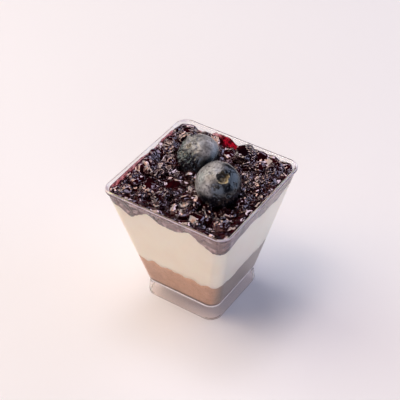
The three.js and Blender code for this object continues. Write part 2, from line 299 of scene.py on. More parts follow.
# The lamps: azimuth and elevation in degrees, width and height in metres, power and colour, all
# at one distance in metres and aimed at one height
LAMPS = {
    "window": (191, 18, (1.18, 0.95), 8.63, (0.9, 1.0, 0.91)),
    "over_window": (180, 48, (0.81, 0.64), 4.98, (1.0, 0.958, 0.792)),
    "key": (225, 48, (0.81, 0.64), 4.3, (1.0, 0.744, 0.511)),
    "over_key": (225, 70, (0.73, 0.53), 7.0, (1.0, 0.83, 0.676)),
    "ceiling": (135, 70, (0.73, 0.53), 6.3, (0.894, 0.904, 1.0)),
    "front": (304, 18, (1.18, 0.95), 7.55, (0.708, 0.778, 1.0)),
    "right": (45, 18, (1.88, 0.95), 11.4, (0.575, 0.715, 1.0)),
    "behind": (88, 36, (0.52, 0.4), 1.6, (0.74, 0.77, 1.0)),
}
LAMP_DISTANCE = 1.5
LAMP_AIM = 30.0
ROOM_COLOUR = (0.5, 0.68, 1.0, 1.0)
TABLE_HALF = 1500.0


def smooth(low, high, value):
    """A soft step from 0 at low to 1 at high."""
    share = min(1.0, max(0.0, (value - low) / (high - low)))
    return share * share * (3 - 2 * share)


def wall_half(z):
    """Half the side of the cup's tapered body, outside."""
    return BODY_HALF + (TOP_HALF - BODY_HALF) * (z - BODY_Z) / (CUP_HEIGHT - BODY_Z)


def spread(index, step):
    """An even spread of numbers from -0.5 to 0.5, one for each index, in an order set by step."""
    return (index * step) % 1 - 0.5


def ridges(place, dimension):
    """Thin ridges of noise about 0, at a place given in units of their size."""
    return noise.ridged_multi_fractal(place, dimension, 2.1, 2, 1.0, 2.0) - 1.2


# Shapes


def square_point(half, corner, turn):
    """The point at turn, from 0 to 4, round a square with rounded corners."""
    side = int(turn) % 4
    along = turn - int(turn)
    sign_x = (1, -1, -1, 1)[side]
    sign_y = (1, 1, -1, -1)[side]
    angle = (side + min(along / CORNER_SHARE, 1.0)) * math.pi / 2
    x = sign_x * (half - corner) + corner * math.cos(angle)
    y = sign_y * (half - corner) + corner * math.sin(angle)
    past = max(0.0, (along - CORNER_SHARE) / (1 - CORNER_SHARE)) * 2 * (half - corner)
    return x - math.sin(angle) * past, y + math.cos(angle) * past


def square_ring(half, corner, z, count):
    """A square with rounded corners at height z, counter-clockwise from above."""
    return [(*square_point(half, corner, 4 * i / count), z) for i in range(count)]


def skin(first_pole, rings, last_pole):
    """Points and faces of a closed skin over rings of equal length, between two poles."""
    around = len(rings[0])
    points = [first_pole]
    for ring in rings:
        points += ring
    points.append(last_pole)
    last = len(points) - 1
    faces = []
    for i in range(around):
        j = (i + 1) % around
        faces.append((0, 1 + j, 1 + i))
        for number in range(len(rings) - 1):
            low = 1 + number * around
            high = low + around
            faces.append((low + i, low + j, high + j, high + i))
        faces.append((last - around + i, last - around + j, last))
    return points, faces


def arc(half, z, radius, start, end, steps):
    """Points of a fillet in the cup's section, from one angle to another, in degrees."""
    turns = [math.radians(start + (end - start) * i / steps) for i in range(steps + 1)]
    return [(half + radius * math.cos(a), z + radius * math.sin(a)) for a in turns]


def make_piece(name, points, faces, *materials):
    """A smooth-shaded object at the origin from points in millimetres."""
    mesh = bpy.data.meshes.new(name)
    mesh.from_pydata([(x * MM, y * MM, z * MM) for x, y, z in points], [], faces)
    mesh.polygons.foreach_set("use_smooth", [True] * len(mesh.polygons))
    for material in materials:
        mesh.materials.append(material)
    mesh.update()
    return placed(bpy.data.objects.new(name, mesh))


def placed(thing):
    """An object, put into the scene."""
    bpy.context.scene.collection.objects.link(thing)
    return thing


def paint(piece, name, values):
    """Stores one number for each point, for the material to read."""
    attribute = piece.data.attributes.new(name, "FLOAT", "POINT")
    attribute.data.foreach_set("value", values)


def settle(piece, node):
    """Joins a finished piece to the part in place of a node's plain solid."""
    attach(piece, "root")
    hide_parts(node)


# The food's surfaces


def crumb_height(x, y):
    """The top of the crumb base, rough where it shows at the wall."""
    rough = smooth(16.4, 18.6, max(abs(x), abs(y)))
    grain = 0.45 * math.sin(0.98 * x + 0.4 * y + 0.6) + 0.4 * math.sin(0.55 * y - 0.7 * x - 0.9)
    return CRUMB_TOP + rough * grain


def cream_height(x, y):
    """The top of the cream, which drips and rises along the wall."""
    seam = SEAM_RISE
    for wave_x, wave_y, width, lift in SEAM_WAVES:
        away = ((x - wave_x) ** 2 + (y - wave_y) ** 2) / (2 * width**2)
        seam += lift * math.exp(-away)
    return CREAM_TOP + seam * smooth(20.5, 26, max(abs(x), abs(y)))


def back_right(x, y):
    """How far into the back right corner a point is: 0 well outside it, 1 well inside."""
    return smooth(-1, 6, x) * smooth(14, 22, y)


def compote_limit(x, y):
    """The greatest height of the compote."""
    return COMPOTE_LIMIT + HEAP_LIMIT * back_right(x, y)


def jelly_height(x, y):
    """The jelly between the cooked berries: drawn up along the walls, least at the back, where it
    leaves a dip, with a smooth hollow beside the fresh berries."""
    front = FRONT_RISE * smooth(17, 25.5, max(-y, x)) * (1 - smooth(15, 24, y))
    left = LEFT_RISE * smooth(19.5, 26, -x) * (1 - 0.5 * smooth(2, 14, -y))
    back = BACK_RISE * smooth(19.5, 26, y) * (1 - smooth(20, 27, x))
    dip = DIP_DEPTH * smooth(21, 25, y) * math.exp(-(((x - DIP_X) / DIP_HALF) ** 4))
    ripple = 0.3 * math.sin(0.95 * x + 0.35 * y + 1) + 0.3 * math.sin(1.15 * y - 0.5 * x + 2.2)
    hollow_x, hollow_y, radius, depth = HOLLOW
    away = ((x - hollow_x) ** 2 + (y - hollow_y) ** 2) / radius**2
    hollow = math.exp(-(away**2))
    rise = max(front, left, back) - dip + HEAP_RISE * back_right(x, y)
    return COMPOTE_TOP + rise + ripple * (1 - hollow) - depth * hollow


def soft_limit(z, limit):
    """Rounds off a height that comes near a limit."""
    return z if z < limit - 1 else limit - 1 + math.tanh(z - limit + 1)


def rough_edge(x, y, z, size, depth):
    """Uneven height of a food seam, from grain of the given size."""
    place = Vector((x, y, z)) / size
    return depth * noise.fractal(place, 0.7, 2.2, 3)


def small_cooked():
    """The small cooked berries: staggered rows, nudged about, where nothing larger lies."""
    taken = [(x, y, radius) for x, y, radius, _ in LARGE_COOKED]
    taken.append((HOLLOW[0], HOLLOW[1], HOLLOW_CLEAR))
    for fresh in (FRONT_BERRY, BACK_BERRY):
        taken.append((fresh["middle"][0], fresh["middle"][1], FRESH_CLEAR * fresh["radius"]))
    rows = int(SMALL_REACH // SMALL_SPACING)
    berries = []
    for row in range(-rows, rows + 1):
        for column in range(-rows, rows + 1):
            index = (row + rows) * (2 * rows + 1) + column + rows + 1
            shift = 0 if row % 2 == 0 else 0.5 * SMALL_SPACING
            x = SMALL_SPACING * column + shift + SMALL_JITTER * spread(index, 0.754878)
            y = SMALL_SPACING * row + SMALL_JITTER * spread(index, 0.56984)
            radius = SMALL_RADIUS + SMALL_SPREAD * spread(index, 0.618034)
            free = all(
                math.hypot(x - other_x, y - other_y) > SMALL_OVERLAP * (radius + other_radius)
                for other_x, other_y, other_radius in taken
            )
            if free and max(abs(x), abs(y)) < SMALL_REACH:
                lift = SMALL_LIFT + SMALL_LIFT_SPREAD * spread(index, 0.3247)
                berries.append((x, y, SMALL_SWELL * radius, lift))
    return berries


# Node trees


def add_node(tree, kind, inputs=None, **settings):
    """A node with its settings, and its inputs by name or number, each a value or a socket."""
    node = tree.nodes.new(kind)
    for name, value in settings.items():
        setattr(node, name, value)
    for name, value in (inputs or {}).items():
        if isinstance(value, bpy.types.NodeSocket):
            tree.links.new(value, node.inputs[name])
        else:
            node.inputs[name].default_value = value
    return node


def calculated(tree, operation, *values):
    """The result of a math node on numbers or sockets."""
    inputs = dict(enumerate(values))
    return add_node(tree, "ShaderNodeMath", inputs, operation=operation).outputs[0]


def ranged(tree, value, low, high):
    """A socket from 0 to 1 made to run from low to high, each a number or a socket."""
    inputs = {"Value": value, "To Min": low, "To Max": high}
    return add_node(tree, "ShaderNodeMapRange", inputs).outputs["Result"]


def number_sockets(**defaults):
    """Number sockets for a node group, with their defaults."""
    return [(label, "NodeSocketFloat", value) for label, value in defaults.items()]


def new_group(name, kind, inputs, outputs):
    """An empty node group with the given sockets, and its input and output nodes."""
    tree = bpy.data.node_groups.new(name, kind)
    for label, socket_type, value in inputs:
        socket = tree.interface.new_socket(name=label, in_out="INPUT", socket_type=socket_type)
        if value is not None:
            socket.default_value = value
    for label, socket_type in outputs:
        tree.interface.new_socket(name=label, in_out="OUTPUT", socket_type=socket_type)
    return tree, tree.nodes.new("NodeGroupInput"), tree.nodes.new("NodeGroupOutput")


def grain_node(tree, noise_type, inputs):
    """A noise texture that is cloudy, or has thin raised ridges."""
    if noise_type == "FBM":
        return add_node(tree, "ShaderNodeTexNoise", inputs)
    inputs = {**inputs, "Offset": 1.0, "Gain": 2.0}
    return add_node(
        tree, "ShaderNodeTexNoise", inputs, noise_type=noise_type, normalize=False
    )


def mottle_group():
    """Cloudy patches over a surface: Mask runs from 0 to 1, Size is in metres."""
    if "mottle" in bpy.data.node_groups:
        return bpy.data.node_groups["mottle"]
    inputs = number_sockets(Size=0.002, Detail=3.0, From=0.4, To=0.6, Shift=0.0)
    outputs = [("Mask", "NodeSocketFloat")]
    tree, given, result = new_group("mottle", "ShaderNodeTree", inputs, outputs)
    place = add_node(tree, "ShaderNodeTexCoord")
    cloud = add_node(
        tree, "ShaderNodeTexNoise",
        {
            "Vector": place.outputs["Object"],
            "Scale": calculated(tree, "DIVIDE", 1.0, given.outputs["Size"]),
            "W": given.outputs["Shift"], "Detail": given.outputs["Detail"],
        },
        noise_dimensions="4D",
    )
    mask = add_node(
        tree, "ShaderNodeMapRange",
        {
            "Value": cloud.outputs["Fac"], "From Min": given.outputs["From"],
            "From Max": given.outputs["To"],
        },
    )
    tree.links.new(mask.outputs["Result"], result.inputs["Mask"])
    return tree


def bump_group(name, noise_type):
    """Fine bumps: Normal from grain that is cloudy or ridged, Size and Depth in metres."""
    if name in bpy.data.node_groups:
        return bpy.data.node_groups[name]
    inputs = number_sockets(Size=0.0005, Depth=0.0001, Detail=3.0, Twist=0.0)
    outputs = [("Normal", "NodeSocketVector")]
    tree, given, result = new_group(name, "ShaderNodeTree", inputs, outputs)
    place = add_node(tree, "ShaderNodeTexCoord").outputs["Object"]
    scale = calculated(tree, "DIVIDE", 1.0, given.outputs["Size"])
    grain = grain_node(
        tree, noise_type,
        {
            "Vector": place, "Scale": scale,
            "Detail": given.outputs["Detail"], "Distortion": given.outputs["Twist"],
        },
    )
    height = grain.outputs["Fac"]
    if noise_type != "FBM":
        height = with_lace(tree, height, place, scale)
    bump = add_node(tree, "ShaderNodeBump", {"Height": height, "Distance": given.outputs["Depth"]})
    tree.links.new(bump.outputs["Normal"], result.inputs["Normal"])
    return tree


def with_lace(tree, height, place, scale):
    """Broad folds in patches, with patches of finer folds between them, and none where the jelly
    is calm."""
    broad = mottled(tree, Size=0.006, Detail=0.5, From=0.44, To=0.56, Shift=1.5)
    fine = mottled(tree, Size=0.005, Detail=0.5, From=0.54, To=0.64, Shift=6.5)
    folds = calculated(tree, "MULTIPLY", height, broad)
    finer = calculated(tree, "MULTIPLY", scale, LACE_FINENESS)
    lace = grain_node(
        tree, "RIDGED_MULTIFRACTAL", {"Vector": place, "Scale": finer, "Detail": 0.0}
    )
    faint = calculated(tree, "MULTIPLY", fine, LACE_HEIGHT)
    both = calculated(tree, "MULTIPLY_ADD", lace.outputs["Fac"], faint, folds)
    stirred = calculated(tree, "SUBTRACT", 1.0, painted(tree, "calm"))
    return calculated(tree, "MULTIPLY", both, stirred)


def relief_group():
    """Cloudy bumps."""
    return bump_group("relief", "FBM")


def wrinkle_group():
    """Thin raised folds."""
    return bump_group("wrinkle", "RIDGED_MULTIFRACTAL")


def use_group(tree, group, **values):
    """A group node with its inputs set."""
    node = tree.nodes.new("ShaderNodeGroup")
    node.node_tree = group
    for name, value in values.items():
        node.inputs[name].default_value = value
    return node


def mottled(tree, **values):
    """A mask of cloudy patches, with the mottle group's inputs set."""
    return use_group(tree, mottle_group(), **values).outputs["Mask"]


def painted(tree, name):
    """A number stored on the piece's points."""
    return add_node(tree, "ShaderNodeAttribute", attribute_name=name).outputs["Fac"]


def blend_colours(tree, factor, low, high):
    """The colour between low and high, each a colour or a socket, by a factor socket."""
    mix = add_node(tree, "ShaderNodeMix", data_type="RGBA")
    tree.links.new(factor, mix.inputs[0])
    for number, colour in ((6, low), (7, high)):
        if isinstance(colour, bpy.types.NodeSocket):
            tree.links.new(colour, mix.inputs[number])
        else:
            mix.inputs[number].default_value = (*colour, 1.0)
    return mix.outputs[2]


def new_material(name, **values):
    """A material with one Principled shader, and its inputs set by name."""
    material = bpy.data.materials.new(name)
    material.use_nodes = True
    tree = material.node_tree
    shader = tree.nodes["Principled BSDF"]
    for label, value in values.items():
        shader.inputs[label.replace("_", " ")].default_value = value
    return material, tree, shader


def dress(tree, shader, colour, relief, **values):
    """Gives a shader its colour, and the bumps of a relief group with its inputs set."""
    tree.links.new(colour, shader.inputs["Base Color"])
    bumps = use_group(tree, relief, **values)
    tree.links.new(bumps.outputs["Normal"], shader.inputs["Normal"])


def let_lamps_through(tree, shader, shade):
    """Lets the lamps shine through a clear material, in the colour or socket shade."""
    path = add_node(tree, "ShaderNodeLightPath")
    through = add_node(tree, "ShaderNodeBsdfTransparent", {"Color": shade})
    mix = add_node(
        tree, "ShaderNodeMixShader",
        {0: path.outputs["Is Shadow Ray"], 1: shader.outputs[0], 2: through.outputs[0]},
    )
    tree.links.new(mix.outputs[0], tree.nodes["Material Output"].inputs["Surface"])


# Finishes


def clear_plastic(settings, name, colour, clear, roughness, ior):
    """Rigid clear plastic that lets lamps through to the food. In the foot it is greyer and lets
    less lamp light through: partly thicker plastic, partly painted shade from under the cup.
    """
    material, tree, shader = new_material(
        name, Roughness=roughness, IOR=ior, Transmission_Weight=clear
    )
    foot = painted(tree, "foot")
    tint = blend_colours(tree, foot, colour, settings.foot)
    dress(tree, shader, tint, relief_group(), Size=0.012, Depth=0.00006, Detail=1.0)
    # In the foot, lamp light is dimmed too, which paints shade on the table inside it
    let_lamps_through(tree, shader, blend_colours(tree, foot, WALL_SHADE, settings.foot))
    return material


def biscuit_crumb(settings):
    """Pressed biscuit crumb: tan, in fine grains, with a few darker ones, and greyer on its right
    side, away from the light, where shade and the floor's grey reflection are painted.
    """
    material, tree, shader = new_material("biscuit_crumb", Roughness=0.75)
    cloud = mottled(tree, Size=0.0022, From=0.35, To=0.65, Shift=1.0)
    grain = mottled(tree, Size=0.0005, Detail=1.0, From=0.58, To=0.72, Shift=4.0)
    tan = blend_colours(tree, cloud, settings.colour, settings.pale)
    grained = blend_colours(tree, grain, tan, settings.dark)
    # Painted shade and reflection: greyer crumb on the side away from the light
    colour = blend_colours(tree, painted(tree, "painted_shade"), grained, settings.painted_shade)
    dress(tree, shader, colour, relief_group(), Size=0.0006, Depth=0.00025)
    return material


def set_cream(settings):
    """Smooth set cheesecake cream with faint cloudy patches."""
    material, tree, shader = new_material(
        "cheesecake_cream", Roughness=0.45, Subsurface_Weight=0.15, Subsurface_Scale=0.002
    )
    cloud = mottled(tree, Size=0.009, From=0.3, To=0.7, Shift=2.0)
    colour = blend_colours(tree, cloud, settings.colour, settings.pale)
    dress(tree, shader, colour, relief_group(), Size=0.003, Depth=0.0001)
    return material


def wet_jelly(settings):
    """Dark blueberry jelly: nearly black on top; against the wall a thin mauve film, paler in part
    because a reflection of the bright room in the cup's wall is painted into it.
    """
    material, tree, shader = new_material("wet_jelly", **SYRUP_GLOSS)
    cloud = mottled(tree, Size=0.003, From=0.42, To=0.62, Shift=3.0)
    deep = blend_colours(tree, cloud, settings.dark, settings.colour)
    # The film against the wall: a thin jelly film with a painted reflection of the cup's wall over it
    blotch = mottled(tree, Size=0.005, From=0.38, To=0.62, Shift=7.0)
    film = blend_colours(tree, blotch, settings.film, settings.film_dark)
    patch = mottled(tree, Size=0.0028, From=0.56, To=0.68, Shift=2.5)
    film = blend_colours(tree, patch, film, settings.film_pale)
    colour = blend_colours(tree, painted(tree, "side_film_and_reflection"), deep, film)
    dress(tree, shader, colour, wrinkle_group(), Size=0.0026, Depth=0.0003, Detail=0.0, Twist=0.8)
    return material


def cooked_skin(settings):
    """Wet wrinkled skins of cooked blueberries, blue-black to maroon."""
    material, tree, shader = new_material("cooked_skin", **SYRUP_GLOSS)
    cloud = mottled(tree, Size=0.0045, From=0.4, To=0.65, Shift=5.0)
    colour = blend_colours(tree, cloud, settings.skin, settings.colour)
    dress(tree, shader, colour, wrinkle_group(), Size=0.003, Depth=0.0011, Detail=0.0, Twist=1.2)
    return material


def red_film(settings):
    """A thin smear of jelly that light shines through, pale pink to red, with darker spots."""
    material, tree, shader = new_material(
        "red_film", Roughness=0.15, Transmission_Weight=0.8, IOR=1.4
    )
    red = painted(tree, "red")
    spot = mottled(tree, Size=0.0018, Detail=1.0, From=0.46, To=0.6, Shift=11.0)
    smear = blend_colours(tree, red, settings.smear_pale, settings.smear)
    thick = calculated(tree, "MULTIPLY", red, spot)
    colour = blend_colours(tree, thick, smear, settings.smear_dark)
    tree.links.new(colour, shader.inputs["Base Color"])
    let_lamps_through(tree, shader, SMEAR_SHADE)
    return material


def fresh_skin(settings):
    """Dark blueberry skin under a patchy pale bloom, bare where syrup lies and where shade is painted
    on the side away from the light, with a brown crown, tan on its dry, lit side and painted dark in
    its hollow and on its far side.
    """
    material, tree, shader = new_material("fresh_skin", Specular_IOR_Level=0.7)
    cloud = mottled(tree, Size=0.0042, Detail=4.0, From=0.36, To=0.6, Shift=6.0)
    scuff = mottled(tree, Size=0.0009, Detail=4.0, From=0.36, To=0.56, Shift=8.0)
    dusty = ranged(tree, calculated(tree, "MULTIPLY", cloud, scuff), 0.28, 0.9)
    # Painted shade: the bloom gives way to bare dark skin where the skin faces away from the light
    bloom = ranged(tree, painted(tree, "wet"), dusty, 0.0)
    skin_colour = blend_colours(tree, bloom, settings.skin, settings.bloom)
    dry = blend_colours(tree, scuff, settings.crown_dark, settings.crown)
    with_crown = blend_colours(tree, painted(tree, "crown"), skin_colour, dry)
    # Painted shade over the crown's own dark brown: its hollow and its side away from the light turn
    # nearly black
    colour = blend_colours(tree, painted(tree, "pit_shade"), with_crown, PIT_SHADE_COLOUR)
    tree.links.new(ranged(tree, bloom, 0.22, 0.4), shader.inputs["Roughness"])
    dress(tree, shader, colour, relief_group(), Size=0.0009, Depth=0.00006)
    return material


# Settings that a user would change


def colour_setting(name, description, default):
    """A colour."""
    return bpy.props.FloatVectorProperty(
        name=name, description=description, default=default, subtype="COLOR", min=0.0, max=1.0
    )


def number_setting(name, description, default, most, subtype="NONE"):
    """A number from 0 to most."""
    return bpy.props.FloatProperty(
        name=name, description=description, default=default, min=0.0, max=most, subtype=subtype
    )


class CupSettings(bpy.types.PropertyGroup):
    """The clear cup."""

    tint: colour_setting("Tint", "Colour of the clear plastic", (0.96, 0.955, 0.96))
    # Partly painted shade: the foot's tint also darkens it and the table inside it, as the shade under
    # the cup would
    foot: colour_setting("Foot tint", "Colour of the plastic in the foot", (0.815, 0.765, 0.737))
    # The colour of the hazy rim, which partly paints the rim's highlight
    edge: colour_setting("Edge tint", "Colour of the hazy moulded rim", (0.9, 0.8, 0.92))
    # The colour of the hazy turn, which paints a bright line of highlight above the foot
    turn: colour_setting("Turn tint", "Colour of the hazy turn above the foot", (1.0, 0.93, 0.92))
    points: bpy.props.IntProperty(
        name="Points", description="Points round each ring of the cup, a multiple of 20",
        default=240, min=40, max=480,
    )


class CrumbSettings(bpy.types.PropertyGroup):
    """The crumb base."""

    colour: colour_setting("Crumb", "Main colour of the crumb", (0.565, 0.283, 0.157))
    pale: colour_setting("Pale crumb", "Colour of the paler patches", (0.67, 0.366, 0.22))
    dark: colour_setting("Dark grains", "Colour of the browned grains", (0.44, 0.21, 0.115))
    # The colour of the painted shade on the crumb's side away from the light
    painted_shade: colour_setting("Damp crumb", "Colour where it has drawn up moisture", (0.27, 0.2, 0.14))
    reach: number_setting("Reach", "How far it reaches into the wall, in millimetres", 0.16, 0.5)


class CreamSettings(bpy.types.PropertyGroup):
    """The cheesecake cream."""

    colour: colour_setting("Cream", "Main colour of the cream", (0.92, 0.777, 0.608))
    pale: colour_setting("Pale cream", "Colour of the paler patches", (0.95, 0.83, 0.665))
    reach: number_setting("Reach", "How far it reaches into the wall, in millimetres", 0.1, 0.5)


class CompoteSettings(bpy.types.PropertyGroup):
    """The blueberry compote."""

    colour: colour_setting("Jelly", "Colour of the redder jelly and skins", (0.03, 0.0009, 0.0026))
    dark: colour_setting("Deep jelly", "Colour of the deep jelly", (0.006, 0.0003, 0.0007))
    skin: colour_setting("Skin", "Colour of the cooked skins", (0.005, 0.0004, 0.001))
    # Colours of the jelly film at the wall, which hold a painted reflection of the cup's wall
    film: colour_setting("Film", "Colour of the film against the wall", (0.178, 0.086, 0.078))
    film_dark: colour_setting("Thick film", "Colour of the film where thick", (0.042, 0.017, 0.015))
    film_pale: colour_setting("Thin film", "Colour of the film where thin", (0.48, 0.33, 0.31))
    smear: colour_setting("Smear", "Colour of the red smears on the wall", (0.5, 0.008, 0.03))
    smear_pale: colour_setting("Pale smear", "Colour of the thin smears", (0.97, 0.68, 0.74))
    smear_dark: colour_setting("Dark smear", "Colour of the thick spots", (0.1, 0.002, 0.008))
    cells: bpy.props.IntProperty(
        name="Cells", description="Cells across the jelly's surface", default=200, min=40, max=280
    )
    fold_depth: number_setting(
        "Fold depth", "Depth of the broad folds in the skins", 0.0024, 0.006, "DISTANCE"
    )
    crease_depth: number_setting(
        "Crease depth", "Depth of the fine creases in the skins", 0.0004, 0.002, "DISTANCE"
    )


class FreshSettings(bpy.types.PropertyGroup):
    """The fresh blueberries."""

    skin: colour_setting("Skin", "Colour of the bare skin", (0.0035, 0.0035, 0.006))
    bloom: colour_setting("Bloom", "Colour of the waxy bloom", (0.55, 0.51, 0.52))
    crown: colour_setting("Crown", "Colour of the dry crown", (0.5, 0.4, 0.23))
    crown_dark: colour_setting("Dark crown", "Colour of its darker parts", (0.14, 0.09, 0.05))


class StageSettings(bpy.types.PropertyGroup):
    """The table and the light."""

    table: colour_setting("Table", "Colour of the table", (0.9, 0.85, 0.88))
    room: number_setting("Room", "Brightness of the room all round", 0.01, 5.0)
    lamps: number_setting("Lamps", "Share of the lamps' full power", 1.0, 10.0)


# The cup


def cup_section():
    """The cup's section as half side, corner radius and height, from the underside round to
    the floor."""
    inner_corner = BODY_CORNER - WALL
    fillet_top = FLOOR_TOP + FLOOR_FILLET
    fillet_half = wall_half(fillet_top) - WALL
    foot_inner = FOOT_HALF - FOOT_WALL
    neck_inner = NECK_HALF - FOOT_WALL
    under_inset = 1.6
    section = [(neck_inner - under_inset, inner_corner - under_inset, FLOOR_UNDER)]
    for half, z in arc(neck_inner - NECK_ROUND, FLOOR_UNDER - NECK_ROUND, NECK_ROUND, 90, 0, 4):
        section.append((half, inner_corner - neck_inner + half, z))
    section += [
        (neck_inner + 0.08, inner_corner, FLOOR_UNDER - 1.2),
        (foot_inner - 0.06, FOOT_CORNER - FOOT_WALL, 0.8),
        (foot_inner, FOOT_CORNER - FOOT_WALL, FOOT_ROUND),
    ]
    foot = arc(foot_inner + FOOT_ROUND, FOOT_ROUND, FOOT_ROUND, 205, 270, 3)
    foot += arc(FOOT_HALF - FOOT_ROUND, FOOT_ROUND, FOOT_ROUND, 270, 355, 4)
    section += [(half, FOOT_CORNER, z) for half, z in foot]
    section += [
        (FOOT_HALF - 0.06, FOOT_CORNER, 0.9),
        (NECK_HALF + 0.3, BODY_CORNER, NECK_Z - 1.1),
        (NECK_HALF + 0.18, BODY_CORNER, NECK_Z - 0.5),
        (NECK_HALF + 0.04, BODY_CORNER, NECK_Z - 0.15),
        (NECK_HALF, BODY_CORNER, NECK_Z),
    ]
    turn = arc(wall_half(BODY_Z) - NECK_ROUND, BODY_Z + 0.1, NECK_ROUND, -80, -10, 6)
    section += [(half, BODY_CORNER, z) for half, z in turn]
    bead_z = CUP_HEIGHT - RIM_BEAD_HEIGHT
    for z in (BODY_Z + 1.0, BODY_Z + 3.0, bead_z - 2.0, bead_z - 0.3):
        section.append((wall_half(z), BODY_CORNER, z))
    section += [
        (wall_half(bead_z) + 0.06, BODY_CORNER + 0.06, bead_z - 0.06),
        (RIM_HALF - 0.06, BODY_CORNER + RIM_BEAD, bead_z + 0.08),
        (RIM_HALF, BODY_CORNER + RIM_BEAD, bead_z + 0.25),
    ]
    for half, z in arc(RIM_HALF - RIM_ROUND, CUP_HEIGHT - RIM_ROUND, RIM_ROUND, 0, 90, 5):
        section.append((half, BODY_CORNER + half - TOP_HALF, z))
    inside = wall_half(CUP_HEIGHT) - WALL
    for half, z in arc(inside + RIM_ROUND, CUP_HEIGHT - RIM_ROUND, RIM_ROUND, 90, 180, 5):
        section.append((half, inner_corner + half - inside, z))
    for z in (CUP_HEIGHT - 1.0, CUP_HEIGHT - 3.0, fillet_top + 1.5):
        section.append((wall_half(z) - WALL, inner_corner, z))
    for half, z in arc(fillet_half - FLOOR_FILLET, fillet_top, FLOOR_FILLET, 0, -90, 8):
        section.append((half, inner_corner - 0.8 * (fillet_half - half), z))
    section.append((fillet_half - FLOOR_FILLET - 0.8, inner_corner - 2.0, FLOOR_TOP))
    return section


def moulded_edge(x, y, z):
    """The moulded part of the cup that a point is on: 1 for the rim's outer edge, 2 for the turn
    above the neck, 3 for the foot, 0 for the clear body."""
    touch = 0.01
    rim = RIM_ROUND + touch
    half = max(abs(x), abs(y))
    reach = math.hypot(x, y)
    if z > CUP_HEIGHT - rim:
        return int(half > RIM_HALF - rim or reach > 1.29 * RIM_HALF)
    if z < NECK_Z - touch:
        return 3
    outside = half > NECK_HALF - touch or reach > 1.2 * NECK_HALF
    return 2 * int(outside and z < BODY_Z + 1.1)


def build_cup(settings):
    """The clear cup as one closed shell, foot, floor and rim."""
    rings = [
        square_ring(half, corner, z, settings.points) for half, corner, z in cup_section()
    ]
    points, faces = skin((0, 0, FLOOR_UNDER), rings, (0, 0, FLOOR_TOP))
    # Each moulded part's colour, how clear it is, its roughness and its index of refraction
    finishes = {
        "clear_plastic": (settings.tint, 1.0, 0.03, 1.58),
        # The rim is partly hazy plastic and partly a painted highlight: pale and partly diffuse
        "hazy_rim_highlight": (settings.edge, 0.6, 0.3, 1.58),
        # The turn above the neck is pale and mostly diffuse: a painted highlight along the moulded
        # step
        "hazy_turn_highlight": (settings.turn, 0.25, 0.4, 1.58),
        "clear_foot": (settings.foot, 1.0, 0.12, 1.3),
    }
    materials = [clear_plastic(settings, name, *finish) for name, finish in finishes.items()]
    piece = make_piece("clear_cup", points, faces, *materials)
    for face, corners in zip(piece.data.polygons, faces):
        face.material_index = min(moulded_edge(*points[corner]) for corner in corners)
    # Marks the foot, whose greyer tint is partly painted shade
    paint(piece, "foot", [float(z < NECK_Z) for _, _, z in points])
    settle(piece, "cup")


# The crumb and the cream


def wall_line(height, reach):
    """The closed line where the surface height(x, y) meets the cup's inner wall, reach into it."""
    line = []
    corner = BODY_CORNER - WALL + reach
    for i in range(FOOD_POINTS):
        z = 0.5 * (CRUMB_TOP + CREAM_TOP)
        # The wall leans, so its side and the height settle on each other in a few rounds
        for _ in range(4):
            half = wall_half(z) - WALL + reach
            x, y = square_point(half, corner, 4 * i / FOOD_POINTS)
            z = height(x, y)
        line.append((x, y, z))
    return line


def floor_line(height, reach):
    """A flat closed line round the inside of the cup near its floor, in the floor's fillet."""
    rise = height - FLOOR_TOP
    inset = FLOOR_FILLET - math.sqrt(max(0.0, FLOOR_FILLET**2 - (FLOOR_FILLET - rise) ** 2))
    half = wall_half(FLOOR_TOP + FLOOR_FILLET) - WALL - inset + reach
    return square_ring(half, BODY_CORNER - WALL + reach - 0.8 * inset, height, FOOD_POINTS)


def between(low, high, share):
    """The ring of points part of the way from one ring to another."""
    return [tuple(a + (b - a) * share for a, b in zip(p, q)) for p, q in zip(low, high)]


def shrunk(ring, share, z=None):
    """A ring drawn in towards the cup's axis."""
    return [(x * share, y * share, height if z is None else z) for x, y, height in ring]


def build_crumb(settings):
    """The crumb base, pressed into the bottom of the cup with a ragged top edge."""

    def top(x, y):
        return crumb_height(x, y) + rough_edge(x, y, 0, 1.5, 0.4)

    bottom = FLOOR_TOP - 0.08
    rows = 8
    high = wall_line(top, settings.reach)
    rings = [floor_line(FLOOR_TOP + rise, settings.reach) for rise in (0.05, 0.3, 0.7, 1.2, 2.0)]
    rings = [shrunk(rings[0], share, bottom) for share in (0.4, 0.9)] + rings
    rings += [between(rings[-1], high, i / rows) for i in range(1, rows + 1)]
    rings += [shrunk(high, 0.95), shrunk(high, 0.7, CRUMB_TOP), shrunk(high, 0.35, CRUMB_TOP)]
    points, faces = skin((0, 0, bottom), rings, (0, 0, CRUMB_TOP))
    piece = make_piece("biscuit_base", points, faces, biscuit_crumb(settings))
    # Painted shade: the crumb turns grey towards its right side, away from the light
    painted_shade = [0.85 * smooth(14.5, 17.5, x - 0.22 * (z - FLOOR_TOP)) for x, _, z in points]
    paint(piece, "painted_shade", painted_shade)
    settle(piece, "crumb_base")


